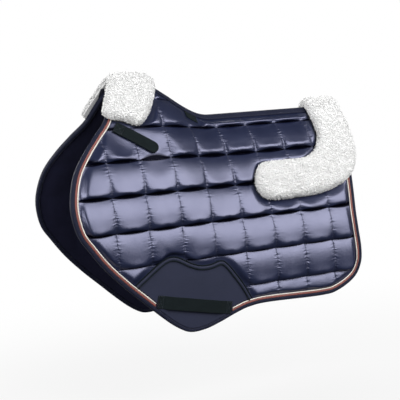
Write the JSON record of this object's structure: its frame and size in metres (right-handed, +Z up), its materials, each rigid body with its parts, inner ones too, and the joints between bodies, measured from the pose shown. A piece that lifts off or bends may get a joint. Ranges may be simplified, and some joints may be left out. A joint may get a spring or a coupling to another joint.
{
  "type": "jumping saddle pad",
  "caption": "Quilted close-contact saddle pad for a horse's back, with a raised wither, white fleece rolls, a girth patch with a keeper, and flaps that fold at the spine.",
  "frame": {"origin": "middle of the straight part of the spine, on the underside of the spine webbing", "axes": "+X along the spine from the pommel towards the cantle, +Y towards the flap on the horse's right, +Z up"},
  "size_m": [0.7251, 0.2934, 0.5736],
  "materials": {
    "navy_satin": "quilted satin with a soft sheen",
    "foam": "open-cell foam sheet",
    "lining_cotton": "plain cotton",
    "binding_tape": "folded woven tape",
    "cream_cord": "round cord",
    "copper_cord": "flattened piping, satin covered",
    "slate_patch": "smooth grippy cloth",
    "dark_webbing": "close-woven webbing",
    "hook_and_loop": "hook-and-loop tape",
    "white_fleece": "deep sheepskin pile",
    "dark_felt": "pressed felt"
  },
  "bodies": {
    "spine": {"spine_binding": "binding_tape", "spine_webbing": "dark_webbing"},
    "left_flap": {"left_quilted_cover": "navy_satin", "left_foam_core": "foam", "left_lining": "lining_cotton", "left_edge_binding": "binding_tape", "left_cream_piping_front": "cream_cord", "left_copper_piping_front": "copper_cord", "left_cream_piping_rear": "cream_cord", "left_copper_piping_rear": "copper_cord", "left_girth_patch": "slate_patch", "left_patch_cord_outer": "dark_webbing", "left_patch_cord_inner": "dark_webbing", "left_girth_keeper": "dark_webbing", "left_pommel_fleece": "white_fleece", "left_pommel_felt": "dark_felt", "left_cantle_fleece": "white_fleece", "left_cantle_felt": "dark_felt", "left_strap_sewn_end": "dark_webbing", "left_strap_loop_patch": "hook_and_loop", "wither_tab": "dark_webbing"},
    "left_strap": {"left_billet_strap": "dark_webbing", "left_strap_hook_patch": "hook_and_loop"},
    "right_flap": {"right_quilted_cover": "navy_satin", "right_foam_core": "foam", "right_lining": "lining_cotton", "right_edge_binding": "binding_tape", "right_cream_piping_front": "cream_cord", "right_copper_piping_front": "copper_cord", "right_cream_piping_rear": "cream_cord", "right_copper_piping_rear": "copper_cord", "right_girth_patch": "slate_patch", "right_patch_cord_outer": "dark_webbing", "right_patch_cord_inner": "dark_webbing", "right_girth_keeper": "dark_webbing", "right_pommel_fleece": "white_fleece", "right_pommel_felt": "dark_felt", "right_cantle_fleece": "white_fleece", "right_cantle_felt": "dark_felt", "right_strap_sewn_end": "dark_webbing", "right_strap_loop_patch": "hook_and_loop"},
    "right_strap": {"right_billet_strap": "dark_webbing", "right_strap_hook_patch": "hook_and_loop"}
  },
  "joints": [
    {"name": "left_fold", "type": "hinge", "parent": "spine", "child": "left_flap", "pos_m": [0, 0, 0.037], "axis": [-1, 0, 0], "range_deg": [-10, 12], "deforming": ["left_pommel_fleece", "left_cantle_fleece", "spine_binding"]},
    {"name": "right_fold", "type": "hinge", "parent": "spine", "child": "right_flap", "pos_m": [0, 0, 0.037], "axis": [1, 0, 0], "range_deg": [-10, 12], "deforming": ["right_pommel_fleece", "right_cantle_fleece", "spine_binding"]},
    {"name": "left_strap_lift", "type": "hinge", "parent": "left_flap", "child": "left_strap", "pos_m": [-0.3952, -0.08574, -0.01473], "axis": [-0.5837, -0.3854, -0.7147], "range_deg": [0, 150]},
    {"name": "right_strap_lift", "type": "hinge", "parent": "right_flap", "child": "right_strap", "pos_m": [-0.3952, 0.08574, -0.01473], "axis": [0.5837, -0.3854, 0.7147], "range_deg": [0, 150]}
  ]
}
